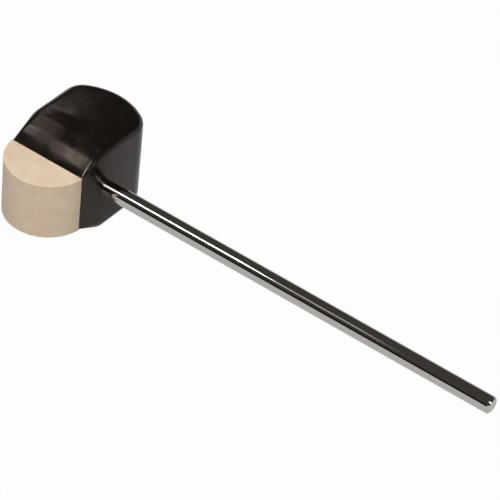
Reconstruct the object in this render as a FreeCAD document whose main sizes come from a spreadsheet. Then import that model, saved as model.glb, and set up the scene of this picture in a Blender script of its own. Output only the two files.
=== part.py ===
import FreeCAD, Part
import math
import os

import Sketcher

# Two-way bass drum beater, lying on its side. +X runs along the shaft from the head to the free end,
# -Y is the felt striking side, +Y the hard striking side, and +Z is up across the head's width.
# The origin is on the shaft axis, where the plain shaft ends and the chamfer of its free end begins.

SIZES = {
    # Shaft: a plated steel rod whose turned-down shank is held inside the head
    "shaft_diameter": 8.0,
    "plain_length": 208.0,
    "end_chamfer": 0.8,
    "shank_diameter": 7.0,
    "shank_length": 34.0,
    # Cross pin through the shank, lying in the joint of the two head shells
    "pin_diameter": 3.0,
    "pin_length": 18.0,
    "pin_setback": 24.0,
    "fit_clearance": 0.05,
    # Head: seat for the pad, widest section on the shaft plane, and crowned hard striking face
    "pad_seat": 16.9,
    "seat_height": 40.0,
    "seat_width": 30.0,
    "seat_corner": 0.6,
    "girth_height": 42.8,
    "girth_width": 48.4,
    "girth_corner": 5.4,
    "girth_round": 7.0,
    "back_reach": 34.7,
    "back_crown": 31.0,
    "back_corner": 11.0,
    "wall": 3.2,
    "tongue_setback": 0.8,
    "tongue_width": 1.0,
    "tongue_height": 1.2,
    # Ribs inside both shells, which carry the shank and the pin
    "rib_thickness": 2.4,
    "long_rib_spacing": 13.0,
    "cross_rib_spacing": 20.0,
    # Felt pad bonded on the seat
    "glue_line": 0.2,
    "pad_height": 41.0,
    "pad_depth": 18.8,
    "pad_edge": 0.6,
}

document = FreeCAD.newDocument("bass_drum_beater")
sheet = document.addObject("Spreadsheet::Sheet", "Sizes")
for row, (alias, number) in enumerate(SIZES.items(), start=1):
    sheet.set(f"A{row}", alias)
    sheet.set(f"B{row}", str(number))
    sheet.setAlias(f"B{row}", alias)
document.recompute()

# The head's own origin is where the shaft axis crosses the line of strike.
HEAD_X = "-(Sizes.plain_length + Sizes.girth_height / 2)"

# The flare rises straight from the seat at this angle, then bends with the girth's round into the sides.
FLARE_RISE = "(Sizes.girth_width - Sizes.seat_width) / 2"
ROUND_DROP = f"({FLARE_RISE} - Sizes.girth_round)"
ROUND_REACH = f"sqrt(Sizes.pad_seat ^ 2 + {ROUND_DROP} ^ 2)"
FLARE_ANGLE = f"(atan2({ROUND_DROP}; Sizes.pad_seat) + asin(Sizes.girth_round / {ROUND_REACH}))"
STRAIGHT_SHARES = (0.0, 0.33, 0.67)
ROUND_SHARES = (0.0, 0.33, 0.67, 1.0)

# A length of nothing, as a (number, expression) pair.
nothing = (0.0, "0")


def size(alias):
    """Return one driving size in millimetres."""
    return float(sheet.get(alias))


def new_body(name, at_head=True):
    """Start a body, placed at the head's origin or at the part's origin."""
    body = document.addObject("PartDesign::Body", name)
    if at_head:
        body.setExpression("Placement.Base.x", HEAD_X)
    return body


def sketch_on(body, name, role, offset=None):
    """Attach an empty sketch to one of the body's own origin planes, moved along its normal."""
    plane = next(item for item in body.Origin.OriginFeatures if item.Role == role)
    sketch = body.newObject("Sketcher::SketchObject", name)
    sketch.AttachmentSupport = (plane, [""])
    sketch.MapMode = "FlatFace"
    if offset:
        sketch.setExpression("AttachmentOffset.Base.z", offset)
    return sketch


def dimension(sketch, kind, places, pair):
    """Add one dimension to a sketch and bind it to the sheet; the pair is (number, expression)."""
    index = sketch.addConstraint(Sketcher.Constraint(kind, *places, pair[0]))
    sketch.setExpression(f"Constraints[{index}]", pair[1])


def line(start, end):
    """Return a straight sketch edge between two (x, y) pairs."""
    return Part.LineSegment(FreeCAD.Vector(*start, 0), FreeCAD.Vector(*end, 0))


def arc(centre, radius, start_angle, end_angle):
    """Return a counter-clockwise sketch arc."""
    circle = Part.Circle(FreeCAD.Vector(*centre, 0), FreeCAD.Vector(0, 0, 1), radius)
    return Part.ArcOfCircle(circle, start_angle, end_angle)


def sized(alias, share=1.0):
    """Return a share of one size as a (number, expression) pair."""
    return (share * size(alias), f"{share} * Sizes.{alias}")


def plus(first, second):
    """Return the sum of two (number, expression) pairs."""
    return (first[0] + second[0], f"({first[1]}) + ({second[1]})")


def minus(first, second):
    """Return the difference of two (number, expression) pairs."""
    return (first[0] - second[0], f"({first[1]}) - ({second[1]})")


def between(first, last, share):
    """Return what lies a share of the way from one size to another; the share is an expression."""
    expression = f"Sizes.{first} + (Sizes.{last} - Sizes.{first}) * ({share})"
    return (float(sheet.evalExpression(expression)), expression)


def turned(body, name, corners):
    """Turn a closed profile about the X axis; corners are (along, radius), on the axis at both ends."""
    sketch = sketch_on(body, f"{name}_profile", "XY_Plane")
    count = len(corners)
    for index in range(count):
        start = corners[index]
        end = corners[(index + 1) % count]
        sketch.addGeometry(line((start[0][0], start[1][0]), (end[0][0], end[1][0])), False)
    for index in range(count):
        sketch.addConstraint(Sketcher.Constraint("Coincident", index, 2, (index + 1) % count, 1))
    for index, (along, radius) in enumerate(corners):
        if index in (0, count - 1):
            sketch.addConstraint(Sketcher.Constraint("PointOnObject", index, 1, -1))
        else:
            dimension(sketch, "DistanceY", (-1, 1, index, 1), radius)
        dimension(sketch, "DistanceX", (-1, 1, index, 1), along)
    solid = body.newObject("PartDesign::Revolution", name)
    solid.Profile = sketch
    solid.ReferenceAxis = (sketch, ["H_Axis"])
    solid.Angle = 360
    document.recompute()
    return solid


def rounded_rectangle(sketch, across, upright, corner):
    """Draw a centred rectangle with equal round corners from three (number, expression) pairs."""
    first = sketch.GeometryCount
    radius = corner[0]
    half_x = across[0] / 2
    half_y = upright[0] / 2
    in_x = half_x - radius
    in_y = half_y - radius
    quarter = math.pi / 2
    sketch.addGeometry(line((-in_x, -half_y), (in_x, -half_y)), False)
    sketch.addGeometry(arc((in_x, -in_y), radius, -quarter, 0), False)
    sketch.addGeometry(line((half_x, -in_y), (half_x, in_y)), False)
    sketch.addGeometry(arc((in_x, in_y), radius, 0, quarter), False)
    sketch.addGeometry(line((in_x, half_y), (-in_x, half_y)), False)
    sketch.addGeometry(arc((-in_x, in_y), radius, quarter, 2 * quarter), False)
    sketch.addGeometry(line((-half_x, in_y), (-half_x, -in_y)), False)
    sketch.addGeometry(arc((-in_x, -in_y), radius, 2 * quarter, 3 * quarter), False)
    bottom, right, top, left = (first + number for number in (0, 2, 4, 6))
    corners = [first + number for number in (1, 3, 5, 7)]
    for number in range(8):
        place = (first + number, 2, first + (number + 1) % 8, 1)
        sketch.addConstraint(Sketcher.Constraint("Tangent", *place))
    for index in (bottom, top):
        sketch.addConstraint(Sketcher.Constraint("Horizontal", index))
    for index in (right, left):
        sketch.addConstraint(Sketcher.Constraint("Vertical", index))
    for index in corners[1:]:
        sketch.addConstraint(Sketcher.Constraint("Equal", corners[0], index))
    sketch.addConstraint(Sketcher.Constraint("Symmetric", corners[0], 3, corners[2], 3, -1, 1))
    dimension(sketch, "DistanceX", (left, 1, right, 1), across)
    dimension(sketch, "DistanceY", (bottom, 1, top, 1), upright)
    dimension(sketch, "Radius", (corners[0],), corner)


def back_profile(sketch, front, height, reach, crown, corner):
    """Draw the side view of the hard half: straight sides, round corners and a crowned back."""
    half = height[0] / 2
    centre = minus(reach, crown)
    corner_x = half - corner[0]
    corner_y = centre[0] + math.sqrt((crown[0] - corner[0]) ** 2 - corner_x ** 2)
    turn = math.atan2(corner_y - centre[0], corner_x)
    sketch.addGeometry(line((-half, front[0]), (half, front[0])), False)
    sketch.addGeometry(line((half, front[0]), (half, corner_y)), False)
    sketch.addGeometry(arc((corner_x, corner_y), corner[0], 0, turn), False)
    sketch.addGeometry(arc((0, centre[0]), crown[0], turn, math.pi - turn), False)
    sketch.addGeometry(arc((-corner_x, corner_y), corner[0], math.pi - turn, math.pi), False)
    sketch.addGeometry(line((-half, corner_y), (-half, front[0])), False)
    mouth, near_side, near_corner, back, far_corner, far_side = range(6)
    sketch.addConstraint(Sketcher.Constraint("Coincident", mouth, 2, near_side, 1))
    sketch.addConstraint(Sketcher.Constraint("Coincident", far_side, 2, mouth, 1))
    for index in (near_side, near_corner, back, far_corner):
        sketch.addConstraint(Sketcher.Constraint("Tangent", index, 2, index + 1, 1))
    for index in (near_side, far_side):
        sketch.addConstraint(Sketcher.Constraint("Vertical", index))
    sketch.addConstraint(Sketcher.Constraint("Equal", near_corner, far_corner))
    sketch.addConstraint(Sketcher.Constraint("PointOnObject", back, 3, -2))
    sketch.addConstraint(Sketcher.Constraint("Symmetric", mouth, 1, mouth, 2, -2))
    dimension(sketch, "DistanceX", (mouth, 1, mouth, 2), height)
    dimension(sketch, "DistanceY", (-1, 1, mouth, 1), front)
    dimension(sketch, "Radius", (near_corner,), corner)
    dimension(sketch, "Radius", (back,), crown)
    dimension(sketch, "DistanceY", (-1, 1, back, 3), centre)


def back_block(body, front, inset):
    """Draw and extrude the hard half, moved in by an inset; return the block and its rims' names."""
    both = (2 * inset[0], f"2 * ({inset[1]})")
    outline = sketch_on(body, f"{body.Name}_outline", "XY_Plane")
    back_profile(
        outline,
        front,
        minus(sized("girth_height"), both),
        minus(sized("back_reach"), inset),
        minus(sized("back_crown"), inset),
        minus(sized("back_corner"), inset),
    )
    block = body.newObject("PartDesign::Pad", f"{body.Name}_block")
    block.Profile = outline
    block.SideType = "Symmetric"
    block.setExpression("Length", minus(sized("girth_width"), both)[1])
    document.recompute()
    # The rims run round the two flat ends, except along the open mouth.
    flat = size("fit_clearance")
    behind_mouth = front[0] + flat
    rims = [
        f"Edge{number}"
        for number, edge in enumerate(block.Shape.Edges, start=1)
        if edge.BoundBox.ZLength < flat and edge.BoundBox.YMax > behind_mouth
    ]
    return block, rims


def back_outside():
    """Make the outer form of the hard half, with rounded rims."""
    body = new_body("back_outside")
    # The block starts in front of the joint, so that its rounded rims run right past it.
    lead = sized("girth_corner")
    block, rims = back_block(body, (-lead[0], f"-({lead[1]})"), nothing)
    rounded = body.newObject("PartDesign::Fillet", "back_rims")
    rounded.Base = (block, rims)
    rounded.setExpression("Radius", "Sizes.girth_corner")
    document.recompute()
    # What stands in front of the joint plane is then cut away.
    cutter = sketch_on(body, "back_cutter", "XZ_Plane")
    cutter_height = plus(sized("girth_height"), lead)
    cutter_width = plus(sized("girth_width"), lead)
    rounded_rectangle(cutter, cutter_height, cutter_width, lead)
    square = body.newObject("PartDesign::Pocket", "back_square")
    square.Profile = cutter
    square.Reversed = True
    square.setExpression("Length", f"2 * ({lead[1]})")
    body.Tip = square
    document.recompute()
    return body


def back_core():
    """Make the hollow of the hard half, which leaves an even wall and a fillet of plastic in each rim."""
    body = new_body("back_core")
    block, rims = back_block(body, nothing, sized("wall"))
    filled = body.newObject("PartDesign::Chamfer", "back_core_rims")
    filled.Base = (block, rims)
    filled.setExpression("Size", "Sizes.girth_corner - Sizes.wall")
    body.Tip = filled
    document.recompute()
    return body


def flare_sections():
    """List the flare's sections as expressions: how far in front of the joint, and the share of the growth."""
    round_start = f"Sizes.girth_round * sin({FLARE_ANGLE})"
    round_growth = f"1 - Sizes.girth_round * (1 - cos({{angle}})) / ({FLARE_RISE})"
    straight_growth = round_growth.format(angle=FLARE_ANGLE)
    for share in STRAIGHT_SHARES:
        yield f"{1 - share} * Sizes.pad_seat + {share} * {round_start}", f"{share} * ({straight_growth})"
    for share in ROUND_SHARES:
        angle = f"{1 - share} * {FLARE_ANGLE}"
        yield f"Sizes.girth_round * sin({angle})", round_growth.format(angle=angle)


def front_outside():
    """Make the outer form of the front half, which flares from the pad's seat to the widest section."""
    body = new_body("front_outside")
    sections = []
    for number, (distance, growth) in enumerate(flare_sections()):
        section = sketch_on(body, f"front_section_{number}", "XZ_Plane", distance)
        rounded_rectangle(
            section,
            between("seat_height", "girth_height", growth),
            between("seat_width", "girth_width", growth),
            between("seat_corner", "girth_corner", growth),
        )
        sections.append(section)
    flare = body.newObject("PartDesign::AdditiveLoft", "front_flare")
    flare.Profile = sections[0]
    flare.Sections = sections[1:]
    flare.Ruled = True
    body.Tip = flare
    document.recompute()
    return body


def front_core():
    """Make the hollow of the front half: a tapered block that leaves a wall all round and at the seat."""
    core = document.addObject("Part::Wedge", "front_core")
    limits = {
        "Ymin": "Sizes.wall - Sizes.pad_seat",
        "Ymax": "0",
        "Xmin": "Sizes.wall - Sizes.seat_height / 2",
        "Xmax": "Sizes.seat_height / 2 - Sizes.wall",
        "Zmin": "Sizes.wall - Sizes.seat_width / 2",
        "Zmax": "Sizes.seat_width / 2 - Sizes.wall",
        "X2min": "Sizes.wall - Sizes.girth_height / 2",
        "X2max": "Sizes.girth_height / 2 - Sizes.wall",
        "Z2min": "Sizes.wall - Sizes.girth_width / 2",
        "Z2max": "Sizes.girth_width / 2 - Sizes.wall",
    }
    for limit, expression in limits.items():
        core.setExpression(limit, expression)
    core.setExpression("Placement.Base.x", HEAD_X)
    document.recompute()
    return core


def joint_ring(name, clearance):
    """Make the tongue that keys the two shells together, or with a clearance the groove that takes it."""
    body = new_body(name)
    ring = sketch_on(body, f"{name}_ring", "XZ_Plane")
    outer_inset = minus(sized("tongue_setback"), clearance)
    inner_inset = plus(plus(sized("tongue_setback"), sized("tongue_width")), clearance)
    for inset in (outer_inset, inner_inset):
        both = (2 * inset[0], f"2 * ({inset[1]})")
        rounded_rectangle(
            ring,
            minus(sized("girth_height"), both),
            minus(sized("girth_width"), both),
            minus(sized("girth_corner"), inset),
        )
    wall = body.newObject("PartDesign::Pad", f"{name}_wall")
    wall.Profile = ring
    wall.Reversed = True
    wall.setExpression("Length", plus(sized("tongue_height"), clearance)[1])
    body.Tip = wall
    document.recompute()
    return body


def rib(name, across_x, across_z, x_share, z_share):
    """Make one rib plate through both shells; the shares place it on the rib spacings."""
    plate = document.addObject("Part::Box", name)
    plate.setExpression("Length", across_x)
    plate.setExpression("Width", "Sizes.pad_seat + Sizes.back_reach")
    plate.setExpression("Height", across_z)
    plate.setExpression(
        "Placement.Base.x", f"{HEAD_X} + {x_share} * Sizes.cross_rib_spacing - ({across_x}) / 2"
    )
    plate.setExpression("Placement.Base.y", "-Sizes.pad_seat")
    plate.setExpression("Placement.Base.z", f"{z_share} * Sizes.long_rib_spacing - ({across_z}) / 2")
    return plate


def boolean(kind, name, base, tool):
    """Cut or fuse two objects."""
    result = document.addObject(kind, name)
    result.Base = base
    result.Tool = tool
    document.recompute()
    return result


# Chromed shaft: a turned shank inside the head, a shoulder on the head's face, and a chamfered free end.
rod = sized("shaft_diameter", share=0.5)
neck = sized("shank_diameter", share=0.5)
bevel = sized("end_chamfer")
shoulder = sized("plain_length", share=-1.0)
root = minus(shoulder, sized("shank_length"))
shaft = new_body("shaft", at_head=False)
shaft_turned = turned(
    shaft,
    "shaft_turned",
    [
        (root, nothing),
        (root, minus(neck, bevel)),
        (plus(root, bevel), neck),
        (shoulder, neck),
        (shoulder, rod),
        (nothing, rod),
        (bevel, minus(rod, bevel)),
        (bevel, nothing),
    ],
)
pin_place = minus(shoulder, sized("pin_setback"))
pin_hole_sketch = sketch_on(shaft, "shaft_pin_hole_outline", "XY_Plane")
pin_centre = FreeCAD.Vector(pin_place[0], 0, 0)
pin_circle = Part.Circle(pin_centre, FreeCAD.Vector(0, 0, 1), size("pin_diameter") / 2)
pin_hole_sketch.addGeometry(pin_circle, False)
pin_hole_sketch.addConstraint(Sketcher.Constraint("PointOnObject", 0, 3, -1))
dimension(pin_hole_sketch, "DistanceX", (-1, 1, 0, 3), pin_place)
dimension(pin_hole_sketch, "Diameter", (0,), plus(sized("pin_diameter"), sized("fit_clearance", share=2)))
pin_hole = shaft.newObject("PartDesign::Pocket", "shaft_pin_hole")
pin_hole.Profile = pin_hole_sketch
pin_hole.SideType = "Symmetric"
pin_hole.setExpression("Length", "2 * Sizes.shaft_diameter")
shaft.Tip = pin_hole
document.recompute()

# Steel cross pin that stops the shank pulling out or turning.
shaft_pin = document.addObject("Part::Cylinder", "shaft_pin")
shaft_pin.setExpression("Radius", "Sizes.pin_diameter / 2")
shaft_pin.setExpression("Height", "Sizes.pin_length")
shaft_pin.setExpression("Placement.Base.x", pin_place[1])
shaft_pin.setExpression("Placement.Base.z", "-Sizes.pin_length / 2")

# The seats that the two shells form together around the shank and the pin.
shank_seat = document.addObject("Part::Cylinder", "shank_seat")
shank_seat.setExpression("Radius", "Sizes.shank_diameter / 2 + Sizes.fit_clearance")
shank_seat.setExpression("Height", "Sizes.shank_length + Sizes.fit_clearance")
shank_seat.Placement.Rotation = FreeCAD.Rotation(FreeCAD.Vector(0, 1, 0), -90)
shank_seat.setExpression("Placement.Base.x", shoulder[1])
pin_seat = document.addObject("Part::Cylinder", "pin_seat")
pin_seat.setExpression("Radius", "Sizes.pin_diameter / 2 + Sizes.fit_clearance")
pin_seat.setExpression("Height", "Sizes.pin_length + 2 * Sizes.fit_clearance")
pin_seat.setExpression("Placement.Base.x", pin_place[1])
pin_seat.setExpression("Placement.Base.z", "-Sizes.pin_length / 2 - Sizes.fit_clearance")
seats = boolean("Part::Fuse", "seats", shank_seat, pin_seat)

# Four rib plates stand in both shells like an egg crate.
ribs = document.addObject("Part::MultiFuse", "ribs")
ribs.Shapes = [
    rib("long_rib_low", "Sizes.girth_height", "Sizes.rib_thickness", x_share=0.0, z_share=-0.5),
    rib("long_rib_high", "Sizes.girth_height", "Sizes.rib_thickness", x_share=0.0, z_share=0.5),
    rib("cross_rib_far", "Sizes.rib_thickness", "Sizes.girth_width", x_share=-0.5, z_share=0.0),
    rib("cross_rib_near", "Sizes.rib_thickness", "Sizes.girth_width", x_share=0.5, z_share=0.0),
]
document.recompute()

# Flared front shell: carries the pad, and keys into the back shell with a tongue.
front_hollow = boolean("Part::Cut", "front_hollow", front_core(), ribs)
front_walls = boolean("Part::Cut", "front_walls", front_outside(), front_hollow)
tongue = joint_ring("tongue", nothing)
front_keyed = boolean("Part::Fuse", "front_keyed", front_walls, tongue)
head_front = boolean("Part::Cut", "head_front", front_keyed, seats)

# Crowned back shell: its outside is the hard striking face.
back_hollow = boolean("Part::Cut", "back_hollow", back_core(), ribs)
back_walls = boolean("Part::Cut", "back_walls", back_outside(), back_hollow)
groove = joint_ring("groove", sized("fit_clearance"))
back_grooved = boolean("Part::Cut", "back_grooved", back_walls, groove)
head_back = boolean("Part::Cut", "head_back", back_grooved, seats)

# Felt pad: a half disc as wide as the seat, with its outer rims eased.
felt_pad = new_body("felt_pad")
pad_outline = sketch_on(felt_pad, "pad_outline", "XY_Plane")
chord_y = plus(sized("pad_seat", share=-1.0), sized("glue_line", share=-1.0))
pad_radius = (
    (size("pad_height") ** 2 / 4 + size("pad_depth") ** 2) / (2 * size("pad_depth")),
    "(Sizes.pad_height ^ 2 / 4 + Sizes.pad_depth ^ 2) / (2 * Sizes.pad_depth)",
)
half_chord = size("pad_height") / 2
pad_centre = chord_y[0] - size("pad_depth") + pad_radius[0]
lean = math.asin((pad_centre - chord_y[0]) / pad_radius[0])
pad_outline.addGeometry(line((half_chord, chord_y[0]), (-half_chord, chord_y[0])), False)
pad_outline.addGeometry(arc((0, pad_centre), pad_radius[0], math.pi + lean, 2 * math.pi - lean), False)
chord, bow = 0, 1
pad_outline.addConstraint(Sketcher.Constraint("Coincident", chord, 2, bow, 1))
pad_outline.addConstraint(Sketcher.Constraint("Coincident", bow, 2, chord, 1))
pad_outline.addConstraint(Sketcher.Constraint("Symmetric", chord, 1, chord, 2, -2))
dimension(pad_outline, "DistanceX", (chord, 2, chord, 1), sized("pad_height"))
dimension(pad_outline, "DistanceY", (-1, 1, chord, 1), chord_y)
dimension(pad_outline, "Radius", (bow,), pad_radius)
pad_block = felt_pad.newObject("PartDesign::Pad", "pad_block")
pad_block.Profile = pad_outline
pad_block.SideType = "Symmetric"
pad_block.setExpression("Length", "Sizes.seat_width")
document.recompute()
pad_rims = [
    f"Edge{number}"
    for number, edge in enumerate(pad_block.Shape.Edges, start=1)
    if edge.BoundBox.YLength > size("pad_edge")
]
pad_eased = felt_pad.newObject("PartDesign::Chamfer", "pad_eased")
pad_eased.Base = (pad_block, pad_rims)
pad_eased.setExpression("Size", "Sizes.pad_edge")
felt_pad.Tip = pad_eased
document.recompute()

pieces = [shaft, shaft_pin, head_front, head_back, felt_pad]
for item in document.Objects:
    if "Invalid" in item.State or "Error" in item.State:
        raise RuntimeError(f"{item.Label} did not build: {item.State}")
for piece in pieces:
    if piece.Shape.isNull() or not piece.Shape.isValid() or len(piece.Shape.Solids) != 1:
        raise RuntimeError(f"{piece.Label} is not one sound solid")

os.makedirs("parts", exist_ok=True)
for piece in pieces:
    piece.Shape.exportStep(f"parts/{piece.Label}.step")
    print(piece.Label, round(piece.Shape.Volume), piece.Shape.BoundBox)
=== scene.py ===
"""Dress the two-way bass drum beater and set it in a plain white studio.

The chromed shaft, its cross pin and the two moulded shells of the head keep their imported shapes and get
their finishes here. The felt pad is modelled afresh as pressed felt. All places are in metres, in the
part's own frame: +X along the shaft to its free end, -Y the felt side, +Z up across the head.
"""

import logging
import math
from collections import defaultdict
from dataclasses import dataclass, field
from enum import Enum
from typing import Any, NamedTuple

import bmesh
import bpy
from mathutils import Matrix, Vector, noise


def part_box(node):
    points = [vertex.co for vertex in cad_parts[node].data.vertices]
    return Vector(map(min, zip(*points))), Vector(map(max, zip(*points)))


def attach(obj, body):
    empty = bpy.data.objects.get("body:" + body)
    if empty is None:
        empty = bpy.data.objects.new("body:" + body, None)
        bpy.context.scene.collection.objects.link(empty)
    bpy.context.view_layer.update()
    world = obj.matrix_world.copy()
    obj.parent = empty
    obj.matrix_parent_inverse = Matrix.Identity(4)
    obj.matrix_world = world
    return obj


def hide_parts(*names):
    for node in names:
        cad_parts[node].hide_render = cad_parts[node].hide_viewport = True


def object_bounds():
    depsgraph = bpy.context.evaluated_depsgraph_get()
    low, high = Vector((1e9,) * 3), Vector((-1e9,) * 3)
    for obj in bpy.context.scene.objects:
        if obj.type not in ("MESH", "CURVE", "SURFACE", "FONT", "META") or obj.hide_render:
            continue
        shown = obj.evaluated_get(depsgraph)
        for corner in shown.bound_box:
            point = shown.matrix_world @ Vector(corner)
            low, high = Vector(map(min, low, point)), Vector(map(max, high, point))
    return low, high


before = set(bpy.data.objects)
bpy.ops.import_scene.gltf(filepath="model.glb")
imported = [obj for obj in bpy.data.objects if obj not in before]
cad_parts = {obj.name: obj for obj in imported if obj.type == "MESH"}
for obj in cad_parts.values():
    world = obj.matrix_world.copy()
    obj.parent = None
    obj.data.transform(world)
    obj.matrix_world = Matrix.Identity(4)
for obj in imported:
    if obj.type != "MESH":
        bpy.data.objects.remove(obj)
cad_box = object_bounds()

log = logging.getLogger("bass_drum_beater")

MM = 0.001

# Where a Mix node that blends colours has its share, its two colours and its result.
MIX_SHARE, MIX_FIRST, MIX_SECOND, MIX_RESULT = 0, 6, 7, 2

Span = tuple[float, float]
Triple = tuple[float, float, float]


class Body(Enum):
    """The bodies that a piece may ride on; the beater is rigid, so there is one."""

    ROOT = "root"


class Slot(Enum):
    """The record's material slot for pressed felt, which nothing here uses."""

    PRESSED_FELT = "pressed_felt"


def linear(hex_colour: str) -> tuple[float, float, float, float]:
    """Turn an sRGB hex colour into linear light.

    Args:
        hex_colour: Six hex digits after a hash sign.

    Returns:
        Red, green, blue and a full alpha.
    """
    channels = (int(hex_colour[place:place + 2], 16) / 255 for place in (1, 3, 5))
    red, green, blue = (
        value / 12.92 if value <= 0.04045 else ((value + 0.055) / 1.055) ** 2.4 for value in channels
    )
    return (red, green, blue, 1.0)


def per_mm(size_mm: float) -> float:
    """Return the texture scale whose pattern repeats about every size_mm millimetres."""
    return 1 / (size_mm * MM)


def add_node(
    tree: bpy.types.NodeTree,
    kind: str,
    inputs: dict[str | int, Any] | None = None,
    **settings: Any,
) -> bpy.types.Node:
    """Add one node, with its own settings and with its inputs filled or linked.

    Args:
        tree: The node tree that the node joins.
        kind: The node's type name.
        inputs: A value or an output socket for each input, by the input's name or place.
        **settings: Properties of the node itself.

    Returns:
        The new node.
    """
    node = tree.nodes.new(kind)
    for name, value in settings.items():
        setattr(node, name, value)
    for place, value in (inputs or {}).items():
        if isinstance(value, bpy.types.NodeSocket):
            tree.links.new(value, node.inputs[place])
        else:
            node.inputs[place].default_value = value
    return node


def new_material(name: str) -> tuple[bpy.types.Material, bpy.types.NodeTree]:
    """Start a material with an empty node tree.

    Args:
        name: What the real material is.

    Returns:
        The material and its node tree.
    """
    material = bpy.data.materials.new(name)
    material.use_nodes = True
    material.node_tree.nodes.clear()
    return material, material.node_tree


def add_piece(name: str, mesh: bmesh.types.BMesh) -> bpy.types.Object:
    """Turn a finished mesh into a smoothly shaded object of the scene, and free it.

    Args:
        name: The object's name.
        mesh: The mesh, in the part's frame.

    Returns:
        The new object.
    """
    for face in mesh.faces:
        face.smooth = True
    data = bpy.data.meshes.new(name)
    mesh.to_mesh(data)
    mesh.free()
    piece = bpy.data.objects.new(name, data)
    bpy.context.scene.collection.objects.link(piece)
    return piece


def coat(piece: bpy.types.Object, material: bpy.types.Material) -> None:
    """Give a piece one material all over."""
    piece.data.materials.clear()
    piece.data.materials.append(material)


@dataclass(frozen=True)
class PressedWoolFelt:
    """Dense wool felt, pressed in a block and cut with a die.

    The matted fibres scatter the light, so the felt has no gloss. They give it a faint uneven cream, short
    streaks where fibres lie together, and a soft pale edge where loose ends catch the light.
    """

    pale: str = "#ecd8bf"
    shade: str = "#e4cbae"
    roughness: float = 0.95
    specular: float = 0.2
    sheen: float = 0.25
    sheen_roughness: float = 0.5
    # A wool fibre is about 0.03 mm thick; tufts of them are drawn this coarse so that they show.
    tuft_width_mm: float = 0.55
    tuft_length_mm: float = 3.5
    # The tufts lie in layers, each turned its own way, in radians.
    tuft_turns: tuple[Triple, ...] = ((0.3, 0.2, 0.4), (1.1, 0.7, -0.9), (-0.6, 1.3, 2.0))
    cloud_mm: float = 7.0
    # The colour goes from shade to pale between these values of the tufts times the clouds.
    tone_span: Span = (0.2, 0.45)
    nap_mm: float = 0.4
    nap_height_mm: float = 0.12
    nap_strength: float = 0.6

    def material(self) -> bpy.types.Material:
        """Make the felt's material.

        Returns:
            The material.
        """
        material, tree = new_material("pressed_wool_felt")
        place = add_node(tree, "ShaderNodeTexCoord").outputs["Object"]
        stretch = self.tuft_width_mm / self.tuft_length_mm
        layers = []
        for turn in self.tuft_turns:
            laid = add_node(
                tree,
                "ShaderNodeMapping",
                {"Vector": place, "Rotation": turn, "Scale": (stretch, 1.0, 1.0)},
            )
            layer = add_node(
                tree,
                "ShaderNodeTexNoise",
                {"Vector": laid.outputs[0], "Scale": per_mm(self.tuft_width_mm), "Detail": 2.0},
            )
            layers.append(layer.outputs["Fac"])
        tufts = layers[0]
        for layer in layers[1:]:
            tufts = add_node(tree, "ShaderNodeMath", {0: tufts, 1: layer}, operation="MAXIMUM").outputs[0]
        clouds = add_node(
            tree, "ShaderNodeTexNoise", {"Vector": place, "Scale": per_mm(self.cloud_mm), "Detail": 3.0}
        ).outputs["Fac"]
        tone = add_node(tree, "ShaderNodeMath", {0: tufts, 1: clouds}, operation="MULTIPLY").outputs[0]
        tone_from, tone_to = self.tone_span
        spread = add_node(
            tree, "ShaderNodeMapRange", {"Value": tone, "From Min": tone_from, "From Max": tone_to}
        ).outputs["Result"]
        colour = add_node(
            tree,
            "ShaderNodeMix",
            {MIX_SHARE: spread, MIX_FIRST: linear(self.shade), MIX_SECOND: linear(self.pale)},
            data_type="RGBA",
        ).outputs[MIX_RESULT]
        nap = add_node(
            tree, "ShaderNodeTexNoise", {"Vector": place, "Scale": per_mm(self.nap_mm), "Detail": 3.0}
        ).outputs["Fac"]
        height = add_node(tree, "ShaderNodeMath", {0: nap, 1: tufts}, operation="ADD").outputs[0]
        bump = add_node(
            tree,
            "ShaderNodeBump",
            {"Height": height, "Strength": self.nap_strength, "Distance": self.nap_height_mm * MM},
        )
        shader = add_node(
            tree,
            "ShaderNodeBsdfPrincipled",
            {
                "Base Color": colour,
                "Roughness": self.roughness,
                "Specular IOR Level": self.specular,
                "Sheen Weight": self.sheen,
                "Sheen Roughness": self.sheen_roughness,
                "Normal": bump.outputs[0],
            },
        )
        add_node(tree, "ShaderNodeOutputMaterial", {"Surface": shader.outputs[0]})
        return material


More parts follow.
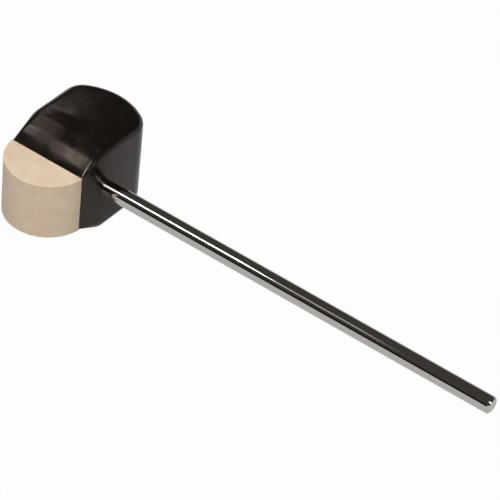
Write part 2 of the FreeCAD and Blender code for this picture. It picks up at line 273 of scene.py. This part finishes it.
@dataclass(frozen=True)
class MouldedGlossAbs:
    """Black ABS, injection moulded in a polished tool.

    The skin copies the tool: glossy, with a very slight orange peel that ripples the reflections and a
    faint haze of handling that makes some patches duller than others. Where the plastic shrank over the
    ribs it has sunk a little, so broad reflections bend. The black is a little warm.
    """

    colour: str = "#130f0e"
    handled: str = "#1a1513"
    ior: float = 1.53
    specular: float = 0.33
    gloss_tint: str = "#ffe6d6"
    gloss: float = 0.12
    haze: float = 0.32
    haze_mm: float = 9.0
    # The skin goes from glossy to hazed between these values of the haze with its scuffs.
    haze_span: Span = (0.35, 0.75)
    # A scuff is a hair line; it is drawn this wide so that it shows.
    scuff_width_mm: float = 0.25
    scuff_length_mm: float = 9.0
    scuff_turn: Triple = (0.4, 0.3, 0.7)
    scuff_span: Span = (0.65, 0.8)
    scuff_share: float = 0.08
    sink_mm: float = 13.0
    sink_depth_mm: float = 0.09
    peel_mm: float = 2.6
    peel_height_mm: float = 0.003
    # The flare swells between its seat and its upper bend, so both ends of it fall away softly.
    lip_reach_mm: float = 5.5
    lip_fall_mm: float = 0.78
    bend_y_mm: float = -1.9
    bend_reach_mm: float = 7.5
    bend_fall_mm: float = 0.7

    def material(self, seat_y: float) -> bpy.types.Material:
        """Make the plastic's material.

        Args:
            seat_y: Where the felt's seat lies.

        Returns:
            The material.
        """
        material, tree = new_material("moulded_gloss_abs")
        place = add_node(tree, "ShaderNodeTexCoord").outputs["Object"]
        haze = add_node(
            tree, "ShaderNodeTexNoise", {"Vector": place, "Scale": per_mm(self.haze_mm), "Detail": 2.0}
        ).outputs["Fac"]
        colour = add_node(
            tree,
            "ShaderNodeMix",
            {MIX_SHARE: haze, MIX_FIRST: linear(self.colour), MIX_SECOND: linear(self.handled)},
            data_type="RGBA",
        ).outputs[MIX_RESULT]
        shader = add_node(
            tree,
            "ShaderNodeBsdfPrincipled",
            {
                "Base Color": colour,
                "Roughness": self.wear(tree, place, haze),
                "IOR": self.ior,
                "Specular IOR Level": self.specular,
                "Specular Tint": linear(self.gloss_tint),
                "Normal": self.relief(tree, place, self.swell(tree, place, seat_y)),
            },
        )
        add_node(tree, "ShaderNodeOutputMaterial", {"Surface": shader.outputs[0]})
        return material

    def wear(
        self, tree: bpy.types.NodeTree, place: bpy.types.NodeSocket, haze: bpy.types.NodeSocket
    ) -> bpy.types.NodeSocket:
        """Dull the gloss by the haze of handling and by fine scuffs.

        Args:
            tree: The plastic's node tree.
            place: The place on the head.
            haze: The pattern of the haze.

        Returns:
            The roughness.
        """
        stretch = self.scuff_width_mm / self.scuff_length_mm
        laid = add_node(
            tree,
            "ShaderNodeMapping",
            {"Vector": place, "Rotation": self.scuff_turn, "Scale": (stretch, 1.0, 1.0)},
        )
        scuffs = add_node(
            tree,
            "ShaderNodeTexNoise",
            {"Vector": laid.outputs[0], "Scale": per_mm(self.scuff_width_mm), "Detail": 1.0},
        ).outputs["Fac"]
        scuff_from, scuff_to = self.scuff_span
        fine = add_node(
            tree,
            "ShaderNodeMapRange",
            {"Value": scuffs, "From Min": scuff_from, "From Max": scuff_to, "To Max": self.scuff_share},
        ).outputs["Result"]
        worn = add_node(tree, "ShaderNodeMath", {0: haze, 1: fine}, operation="ADD").outputs[0]
        haze_from, haze_to = self.haze_span
        return add_node(
            tree,
            "ShaderNodeMapRange",
            {
                "Value": worn,
                "From Min": haze_from,
                "From Max": haze_to,
                "To Min": self.gloss,
                "To Max": self.haze,
            },
        ).outputs["Result"]

    def swell(
        self, tree: bpy.types.NodeTree, place: bpy.types.NodeSocket, seat_y: float
    ) -> bpy.types.NodeSocket:
        """Let the upper and lower faces fall away softly at the felt's seat and at the bend of the flare.

        Args:
            tree: The plastic's node tree.
            place: The place on the head.
            seat_y: Where the felt's seat lies.

        Returns:
            The shading normal.
        """
        back = add_node(tree, "ShaderNodeSeparateXYZ", {0: place}).outputs["Y"]
        off_bend = add_node(
            tree, "ShaderNodeMath", {0: back, 1: self.bend_y_mm * MM}, operation="SUBTRACT"
        ).outputs[0]
        from_bend = add_node(tree, "ShaderNodeMath", {0: off_bend}, operation="ABSOLUTE").outputs[0]
        shoulder = add_node(
            tree,
            "ShaderNodeMapRange",
            {
                "Value": from_bend,
                "From Max": self.bend_reach_mm * MM,
                "To Min": -self.bend_fall_mm,
                "To Max": 0.0,
            },
            interpolation_type="SMOOTHSTEP",
        ).outputs["Result"]
        near_seat = add_node(
            tree,
            "ShaderNodeMapRange",
            {
                "Value": back,
                "From Min": seat_y,
                "From Max": seat_y + self.lip_reach_mm * MM,
                "To Min": 1.0,
                "To Max": 0.0,
            },
        ).outputs["Result"]
        lip = add_node(
            tree, "ShaderNodeMath", {0: near_seat, 1: near_seat}, operation="MULTIPLY"
        ).outputs[0]
        fall = add_node(
            tree, "ShaderNodeMath", {0: lip, 1: -self.lip_fall_mm, 2: shoulder}, operation="MULTIPLY_ADD"
        ).outputs[0]
        # The faces across the shaft stay flat.
        skin = add_node(tree, "ShaderNodeNewGeometry").outputs["Normal"]
        up = add_node(tree, "ShaderNodeSeparateXYZ", {0: skin}).outputs["Z"]
        level = add_node(tree, "ShaderNodeMath", {0: up}, operation="ABSOLUTE").outputs[0]
        height_mm = add_node(tree, "ShaderNodeMath", {0: fall, 1: level}, operation="MULTIPLY").outputs[0]
        return add_node(tree, "ShaderNodeBump", {"Height": height_mm, "Distance": MM}).outputs[0]

    def relief(
        self, tree: bpy.types.NodeTree, place: bpy.types.NodeSocket, normal: bpy.types.NodeSocket
    ) -> bpy.types.NodeSocket:
        """Lay the sink marks and the orange peel on the skin.

        Args:
            tree: The plastic's node tree.
            place: The place on the head.
            normal: The shading normal of the skin without them.

        Returns:
            The shading normal.
        """
        for wave_mm, height_mm in (
            (self.sink_mm, self.sink_depth_mm),
            (self.peel_mm, self.peel_height_mm),
        ):
            wave = add_node(
                tree, "ShaderNodeTexNoise", {"Vector": place, "Scale": per_mm(wave_mm), "Detail": 0.0}
            )
            normal = add_node(
                tree,
                "ShaderNodeBump",
                {"Height": wave.outputs["Fac"], "Distance": height_mm * MM, "Normal": normal},
            ).outputs[0]
        return normal


class Lay(Enum):
    """Which way the fine lines of a worked metal run on the piece."""

    ALONG_SHAFT = (1.0, 0.0, 0.0)
    ALONG_PIN = (0.0, 0.0, 1.0)


@dataclass(frozen=True)
class WorkedMetal:
    """A bare or plated metal whose surface keeps the fine lines of its last working.

    Polishing or grinding leaves hair lines that stretch and soften the reflections a little across them.
    """

    name: str
    colour: str
    polish: float
    dull: float
    lay: Lay
    line_width_mm: float
    line_length_mm: float
    line_depth_mm: float
    # The metal goes from polished to dull between these values of the lines.
    line_span: Span = (0.3, 0.7)

    def material(self) -> bpy.types.Material:
        """Make the metal's material.

        Returns:
            The material.
        """
        material, tree = new_material(self.name)
        place = add_node(tree, "ShaderNodeTexCoord").outputs["Object"]
        stretch = self.line_width_mm / self.line_length_mm
        scale = tuple(stretch if along else 1.0 for along in self.lay.value)
        laid = add_node(tree, "ShaderNodeMapping", {"Vector": place, "Scale": scale})
        lines = add_node(
            tree,
            "ShaderNodeTexNoise",
            {"Vector": laid.outputs[0], "Scale": per_mm(self.line_width_mm), "Detail": 2.0},
        ).outputs["Fac"]
        line_from, line_to = self.line_span
        roughness = add_node(
            tree,
            "ShaderNodeMapRange",
            {
                "Value": lines,
                "From Min": line_from,
                "From Max": line_to,
                "To Min": self.polish,
                "To Max": self.dull,
            },
        ).outputs["Result"]
        bump = add_node(tree, "ShaderNodeBump", {"Height": lines, "Distance": self.line_depth_mm * MM})
        shader = add_node(
            tree,
            "ShaderNodeBsdfPrincipled",
            {
                "Base Color": linear(self.colour),
                "Metallic": 1.0,
                "Roughness": roughness,
                "Normal": bump.outputs[0],
            },
        )
        add_node(tree, "ShaderNodeOutputMaterial", {"Surface": shader.outputs[0]})
        return material


# Chromium plate over polished steel: bright, a little darker than silver, with hair lines along the rod.
CHROME_PLATE = WorkedMetal(
    name="polished_chromium_plate",
    colour="#d0cecb",
    polish=0.03,
    dull=0.07,
    lay=Lay.ALONG_SHAFT,
    line_width_mm=0.3,
    line_length_mm=30.0,
    line_depth_mm=0.0004,
)

# Spring steel, ground between wheels: grey, with a satin of short lines along the pin.
GROUND_STEEL = WorkedMetal(
    name="ground_spring_steel",
    colour="#a8a9ab",
    polish=0.25,
    dull=0.4,
    lay=Lay.ALONG_PIN,
    line_width_mm=0.12,
    line_length_mm=2.0,
    line_depth_mm=0.002,
)


@dataclass(frozen=True)
class WhiteStudioPaper:
    """Matt white background paper, lit so evenly that it pictures as white and keeps a faint shadow."""

    colour: str = "#9c9c9b"
    camera_glow_share: float = 0.98
    mirror_glow_share: float = 0.45
    grain_mm: float = 1.5
    grain_height_mm: float = 0.03
    grain_strength: float = 0.5

    def material(self) -> bpy.types.Material:
        """Make the paper's material.

        Returns:
            The material.
        """
        material, tree = new_material("white_studio_paper")
        place = add_node(tree, "ShaderNodeTexCoord").outputs["Object"]
        grain = add_node(
            tree, "ShaderNodeTexNoise", {"Vector": place, "Scale": per_mm(self.grain_mm)}
        ).outputs["Fac"]
        bump = add_node(
            tree,
            "ShaderNodeBump",
            {"Height": grain, "Strength": self.grain_strength, "Distance": self.grain_height_mm * MM},
        )
        paper = add_node(
            tree, "ShaderNodeBsdfDiffuse", {"Color": linear(self.colour), "Normal": bump.outputs[0]}
        )
        glow = add_node(tree, "ShaderNodeEmission", {"Strength": 1.0})
        rays = add_node(tree, "ShaderNodeLightPath").outputs
        share = add_node(
            tree,
            "ShaderNodeMath",
            {0: rays["Is Camera Ray"], 1: self.camera_glow_share},
            operation="MULTIPLY",
        ).outputs[0]
        for ray in ("Is Glossy Ray", "Is Transmission Ray"):
            share = add_node(
                tree,
                "ShaderNodeMath",
                {0: rays[ray], 1: self.mirror_glow_share, 2: share},
                operation="MULTIPLY_ADD",
            ).outputs[0]
        mixed = add_node(
            tree, "ShaderNodeMixShader", {0: share, 1: paper.outputs[0], 2: glow.outputs[0]}
        )
        add_node(tree, "ShaderNodeOutputMaterial", {"Surface": mixed.outputs[0]})
        return material


class RimPlace(NamedTuple):
    """A place on the felt's outline: its point in plan, the way into the felt, and the rim radius."""

    point: Vector
    inward: Vector
    rim: float


def walk_arc(centre: Vector, radius: float, turn: Span, steps: int, rims: Span) -> list[RimPlace]:
    """Walk along an arc of the felt's outline, up to but without its last place.

    Args:
        centre: The arc's centre in plan.
        radius: The arc's radius.
        turn: The angles at which the arc starts and ends.
        steps: How many places the walk has.
        rims: The rim radius at the start and at the end.

    Returns:
        The places in order.
    """
    places = []
    for step in range(steps):
        share = step / steps
        angle = turn[0] + (turn[1] - turn[0]) * share
        out = Vector((math.cos(angle), math.sin(angle)))
        places.append(RimPlace(centre + radius * out, -out, rims[0] + (rims[1] - rims[0]) * share))
    return places


@dataclass
class FeltPad:
    """The felt striking pad: a half disc bonded by its flat side to the seat of the head."""

    node: str = "felt_pad"
    finish: PressedWoolFelt = field(default_factory=PressedWoolFelt)
    # Rims of the half disc are eased by the die and by use; the edge on the seat stays crisp.
    rim_mm: float = 0.5
    seat_rim_mm: float = 0.15
    corner_mm: float = 0.35
    # The surface is nowhere quite even. The shift keeps the pile's pattern apart from the wave's.
    wave_mm: float = 6.0
    wave_height_mm: float = 0.12
    pile_mm: float = 2.4
    pile_height_mm: float = 0.04
    pile_shift: Triple = (7.0, 3.0, 5.0)
    # Places round the outline, with the shares of them on the bow and on each corner.
    around: int = 176
    bow_share: float = 0.6
    corner_share: float = 0.012
    rings: int = 22
    rim_steps: int = 4
    side_steps: int = 44

    def outline(self) -> list[RimPlace]:
        """Walk once round the half disc: the bow, a corner, the flat side and the other corner.

        Returns:
            The places in order, in metres.
        """
        low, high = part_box(self.node)
        middle = (low.x + high.x) / 2
        half = (high.x - low.x) / 2
        depth = high.y - low.y
        radius = (half ** 2 + depth ** 2) / (2 * depth)
        bow = Vector((middle, low.y + radius))
        # A corner's circle touches the flat side and the bow from inside.
        corner = self.corner_mm * MM
        corner_y = high.y - corner
        dip = math.asin((bow.y - corner_y) / (radius - corner))
        reach = (radius - corner) * math.cos(dip)
        left, right = (Vector((middle + side * reach, corner_y)) for side in (-1, 1))
        bow_steps = round(self.around * self.bow_share)
        corner_steps = round(self.around * self.corner_share)
        seat_steps = self.around - bow_steps - 2 * corner_steps
        rim, seat_rim = self.rim_mm * MM, self.seat_rim_mm * MM
        seat = [
            RimPlace(
                left.lerp(right, step / seat_steps) + Vector((0.0, corner)), Vector((0.0, -1.0)), seat_rim
            )
            for step in range(seat_steps)
        ]
        square = math.pi / 2
        return [
            *walk_arc(bow, radius, (-dip, dip - math.pi), bow_steps, (rim, rim)),
            *walk_arc(left, corner, (dip + math.pi, square), corner_steps, (rim, seat_rim)),
            *seat,
            *walk_arc(right, corner, (square, -dip), corner_steps, (seat_rim, rim)),
        ]

    def lay_face(
        self, mesh: bmesh.types.BMesh, outline: list[RimPlace], middle: Vector, face_z: float, side: int
    ) -> list[list[bmesh.types.BMVert]]:
        """Lay rings over one face of the half disc, from its middle out, and on over its eased rim.

        Args:
            mesh: The mesh that the rings join.
            outline: The places round the half disc.
            middle: The middle of the face in plan.
            face_z: The height of the face.
            side: 1 for the upper face and -1 for the lower one.

        Returns:
            The rings in order.
        """
        rings = []
        for ring in range(1, self.rings + 1):
            share = ring / self.rings
            plan = [middle.lerp(point + inward * rim, share) for point, inward, rim in outline]
            rings.append([mesh.verts.new((*point, face_z)) for point in plan])
        for step in range(1, self.rim_steps + 1):
            angle = math.pi / 2 * step / self.rim_steps
            inset = 1 - math.sin(angle)
            drop = side * (1 - math.cos(angle))
            rings.append(
                [
                    mesh.verts.new((*(point + inward * rim * inset), face_z - rim * drop))
                    for point, inward, rim in outline
                ]
            )
        return rings

    def build(self) -> bpy.types.Object:
        """Model the felt as one closed skin with eased rims and a slightly uneven surface.

        Returns:
            The pad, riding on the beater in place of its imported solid.
        """
        low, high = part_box(self.node)
        outline = self.outline()
        count = len(outline)
        middle = sum((place.point for place in outline), Vector((0.0, 0.0))) / count
        mesh = bmesh.new()
        upper = self.lay_face(mesh, outline, middle, high.z, 1)
        lower = self.lay_face(mesh, outline, middle, low.z, -1)
        side_rows = [
            [
                mesh.verts.new(first.co.lerp(last.co, step / self.side_steps))
                for first, last in zip(upper[-1], lower[-1])
            ]
            for step in range(1, self.side_steps)
        ]
        rows = upper + side_rows + lower[::-1]
        for above, below in zip(rows, rows[1:]):
            for place in range(count):
                after = (place + 1) % count
                mesh.faces.new((above[place], above[after], below[after], below[place]))
        for row, face_z in ((rows[0], high.z), (rows[-1], low.z)):
            pole = mesh.verts.new((*middle, face_z))
            for place in range(count):
                mesh.faces.new((pole, row[place], row[(place + 1) % count]))
        bmesh.ops.recalc_face_normals(mesh, faces=mesh.faces)
        mesh.normal_update()
        self.roughen(mesh, high.y)
        pad = add_piece("felt_pad_pressed", mesh)
        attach(pad, Body.ROOT.value)
        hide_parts(self.node)
        return pad

    def roughen(self, mesh: bmesh.types.BMesh, seat_y: float) -> None:
        """Press the skin in a little, unevenly, everywhere but on the seat.

        Args:
            mesh: The pad's skin, with its normals up to date.
            seat_y: Where the flat side meets the head.
        """
        fade = 2 * self.rim_mm * MM
        moves = []
        for vert in mesh.verts:
            wave = noise.noise(vert.co / (self.wave_mm * MM))
            pile = noise.noise(vert.co / (self.pile_mm * MM) + Vector(self.pile_shift))
            depth = self.wave_height_mm * (1 + wave) / 2 + self.pile_height_mm * (1 + pile) / 2
            share = min(1.0, max(0.0, (seat_y - vert.co.y) / fade))
            moves.append(vert.normal * -depth * MM * share)
        for vert, move in zip(mesh.verts, moves):
            vert.co += move

    def dress(self, pad: bpy.types.Object) -> None:
        """Cover the pad with felt."""
        coat(pad, self.finish.material())


@dataclass
class MouldedHead:
    """The head's two welded shells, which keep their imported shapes."""

    nodes: tuple[str, ...] = ("head_front", "head_back")
    finish: MouldedGlossAbs = field(default_factory=MouldedGlossAbs)
    # Faces that meet more flatly than this are shaded as one smooth skin.
    crease_deg: float = 14.0
    same_place_mm: float = 0.002
    # The faces along the shaft and those across it reflect as if crowned by these slopes at their ends.
    crown_slope: float = 0.1
    end_crown_slope: float = 0.13

    def dress(self) -> None:
        """Give both shells the same black moulding and shade them smoothly."""
        seat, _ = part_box(self.nodes[0])
        material = self.finish.material(seat.y)
        for node in self.nodes:
            coat(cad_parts[node], material)
            log.info("%s dressed as %s", node, material.name)
        self.smooth()

    def smooth(self) -> None:
        """Shade the narrow straight bands of the flare as one skin, across the joint of the shells too.

        Nearly level faces share their shading normal where they meet. The normals also lean outward a little
        toward the ends of each face, as those of a moulding do that is never quite flat.
        """
        level = math.cos(math.radians(self.crease_deg))
        step = self.same_place_mm * MM
        low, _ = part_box(self.nodes[0])
        _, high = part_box(self.nodes[1])
        middle, half = (low + high) / 2, (high - low) / 2
        meshes = [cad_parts[node].data for node in self.nodes]
        meeting: dict[tuple[int, ...], list[Vector]] = defaultdict(list)
        corners = []
        for mesh in meshes:
            for face in mesh.polygons:
                for loop in face.loop_indices:
                    point = mesh.vertices[mesh.loops[loop].vertex_index].co
                    place = tuple(round(value / step) for value in point)
                    normal = mesh.corner_normals[loop].vector.copy()
                    meeting[place].append(normal)
                    corners.append((mesh, loop, place, normal))
        eased: dict[str, dict[int, Vector]] = defaultdict(dict)
        for mesh, loop, place, normal in corners:
            total = sum((other for other in meeting[place] if other.dot(normal) > level), Vector())
            along, back = place[0] * step, place[1] * step
            crown = self.crown_slope * (along - middle.x) / half.x
            end_crown = self.end_crown_slope * (back - middle.y) / half.y
            lean = Vector((crown, end_crown * abs(normal.x), 0.0))
            eased[mesh.name][loop] = (total.normalized() + lean).normalized()
        for mesh in meshes:
            mesh.normals_split_custom_set([eased[mesh.name][loop] for loop in range(len(mesh.loops))])


@dataclass
class ChromedShaft:
    """The plated rod and the cross pin that holds it in the head."""

    rod: str = "shaft"
    pin: str = "shaft_pin"

    def dress(self) -> None:
        """Plate the rod and grind the pin."""
        for node, finish in ((self.rod, CHROME_PLATE), (self.pin, GROUND_STEEL)):
            material = finish.material()
            coat(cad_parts[node], material)
            log.info("%s dressed as %s", node, material.name)


class Facing(Enum):
    """What a lamp faces: the head, or the floor straight below the lamp."""

    HEAD = "head"
    FLOOR = "floor"


@dataclass(frozen=True)
class Softbox:
    """A flat rectangular lamp, placed from the middle of the head."""

    name: str
    offset_m: Triple
    size_m: tuple[float, float]
    radiance: float
    facing: Facing = Facing.FLOOR

    def hang(self, head: Vector) -> None:
        """Hang the lamp.

        Args:
            head: The middle of the head.
        """
        width, length = self.size_m
        lamp = bpy.data.lights.new(self.name, "AREA")
        lamp.shape = "RECTANGLE"
        lamp.size = width
        lamp.size_y = length
        lamp.energy = self.radiance * math.pi * width * length
        holder = bpy.data.objects.new(self.name, lamp)
        bpy.context.scene.collection.objects.link(holder)
        offset = Vector(self.offset_m)
        holder.location = head + offset
        toward = -offset if self.facing is Facing.HEAD else Vector((0.0, 0.0, -1.0))
        holder.rotation_euler = toward.to_track_quat("-Z", "Y").to_euler()


@dataclass
class Studio:
    """A round white sweep, lamps above it in a dim room, and the camera."""

    paper: WhiteStudioPaper = field(default_factory=WhiteStudioPaper)
    floor_radius_m: float = 6.0
    cove_m: float = 0.3
    wall_m: float = 0.2
    segments: int = 96
    cove_steps: int = 10
    # The room is dark low behind the camera and a little lighter above and behind the beater. It is
    # fully light where a direction leans this far toward the light side.
    dark_side: str = "#0b0b0b"
    light_side: str = "#464340"
    light_side_to: Triple = (0.0, 0.3, 0.95)
    light_side_edge: float = 0.25
    # The key lights the felt from a little above the camera's line. The left lamp fills the side away
    # from the rod, and the right one glints on the rod's free end. The panels are there to be seen in the
    # gloss: the near one and its dim spill in the rod and the flare, the others in the far end of the
    # flare, its bend and the top of the head.
    lamps: tuple[Softbox, ...] = (
        Softbox("key_softbox", (0.36, -0.49, 0.78), (0.60, 0.40), 13.2),
        Softbox("left_softbox", (-0.90, -0.45, 0.45), (0.50, 0.40), 1.6, Facing.HEAD),
        Softbox("right_softbox", (1.15, 0.0, 0.42), (0.16, 0.16), 5.0, Facing.HEAD),
        Softbox("near_panel", (-0.30, -0.30, 0.70), (0.15, 0.16), 7.5),
        Softbox("spill_panel", (-0.185, -0.36, 0.70), (0.12, 0.20), 0.5),
        Softbox("far_panel", (-0.60, -0.195, 0.70), (0.25, 0.06), 7.5),
        Softbox("bend_panel", (-0.55, -0.01, 0.70), (0.26, 0.28), 1.3),
        Softbox("top_panel", (-0.74, 0.44, 0.70), (0.34, 0.62), 1.2),
    )
    # The camera, matched to the picture: where it looks, from how far, and how it is turned.
    aim_mm: Triple = (-147.674, 30.744, -20.956)
    distance_mm: float = 1267.526
    azimuth_deg: float = 32.541
    elevation_deg: float = 40.645
    roll_deg: float = 6.759
    lens_mm: float = 201.6
    sensor_mm: float = 36.0

    def lay_paper(self) -> bpy.types.Object:
        """Lay the sweep: a level floor under the beater that curves up into a low wall all round.

        Returns:
            The sweep.
        """
        floor_z = cad_box[0].z
        profile = [(self.floor_radius_m, floor_z)]
        for step in range(1, self.cove_steps + 1):
            angle = math.pi / 2 * step / self.cove_steps
            out = self.cove_m * math.sin(angle)
            rise = self.cove_m * (1 - math.cos(angle))
            profile.append((self.floor_radius_m + out, floor_z + rise))
        profile.append((self.floor_radius_m + self.cove_m, floor_z + self.cove_m + self.wall_m))
        mesh = bmesh.new()
        middle = mesh.verts.new((0.0, 0.0, floor_z))
        rows = []
        for radius, height in profile:
            turns = (2 * math.pi * place / self.segments for place in range(self.segments))
            rows.append(
                [mesh.verts.new((radius * math.cos(turn), radius * math.sin(turn), height)) for turn in turns]
            )
        for place in range(self.segments):
            after = (place + 1) % self.segments
            mesh.faces.new((middle, rows[0][place], rows[0][after]))
            for inner, outer in zip(rows, rows[1:]):
                mesh.faces.new((inner[place], outer[place], outer[after], inner[after]))
        sweep = add_piece("paper_sweep", mesh)
        coat(sweep, self.paper.material())
        return sweep

    def light(self) -> None:
        """Hang the lamps and dim the room around them."""
        low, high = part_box("head_back")
        head = Vector(((low.x + high.x) / 2, 0.0, 0.0))
        for lamp in self.lamps:
            lamp.hang(head)
        world = bpy.data.worlds.new("dim_room")
        world.use_nodes = True
        tree = world.node_tree
        tree.nodes.clear()
        toward = add_node(tree, "ShaderNodeTexCoord").outputs["Generated"]
        facing = add_node(
            tree, "ShaderNodeVectorMath", {0: toward, 1: self.light_side_to}, operation="DOT_PRODUCT"
        ).outputs["Value"]
        share = add_node(
            tree, "ShaderNodeMapRange", {"Value": facing, "From Max": self.light_side_edge}
        ).outputs["Result"]
        colour = add_node(
            tree,
            "ShaderNodeMix",
            {MIX_SHARE: share, MIX_FIRST: linear(self.dark_side), MIX_SECOND: linear(self.light_side)},
            data_type="RGBA",
        ).outputs[MIX_RESULT]
        room = add_node(tree, "ShaderNodeBackground", {"Color": colour, "Strength": 1.0})
        add_node(tree, "ShaderNodeOutputWorld", {"Surface": room.outputs[0]})
        bpy.context.scene.world = world

    def aim(self) -> None:
        """Set up the camera at the picture's angle."""
        azimuth, elevation, roll = (
            math.radians(angle) for angle in (self.azimuth_deg, self.elevation_deg, self.roll_deg)
        )
        back = Vector(
            (
                math.sin(azimuth) * math.cos(elevation),
                -math.cos(azimuth) * math.cos(elevation),
                math.sin(elevation),
            )
        )
        level = Vector((math.cos(azimuth), math.sin(azimuth), 0.0))
        upright = back.cross(level)
        right = level * math.cos(roll) + upright * math.sin(roll)
        up = back.cross(right)
        turn = Matrix((right, up, back)).transposed()
        lens = bpy.data.cameras.new("studio_camera")
        lens.lens = self.lens_mm
        lens.sensor_width = self.sensor_mm
        lens.dof.use_dof = False
        camera = bpy.data.objects.new("studio_camera", lens)
        bpy.context.scene.collection.objects.link(camera)
        place = (Vector(self.aim_mm) + back * self.distance_mm) * MM
        camera.matrix_world = Matrix.Translation(place) @ turn.to_4x4()
        bpy.context.scene.camera = camera
        bpy.context.scene.view_settings.view_transform = "Standard"


def main() -> None:
    """Build and dress the beater, set up the studio, and log what was made."""
    logging.basicConfig(level=logging.INFO, format="%(name)s: %(message)s")
    pad = FeltPad()
    felt = pad.build()
    pad.dress(felt)
    log.info("%s modelled with %d faces", felt.name, len(felt.data.polygons))
    MouldedHead().dress()
    ChromedShaft().dress()
    studio = Studio()
    log.info("%s laid", studio.lay_paper().name)
    studio.light()
    studio.aim()


if __name__ == "__main__":
    main()
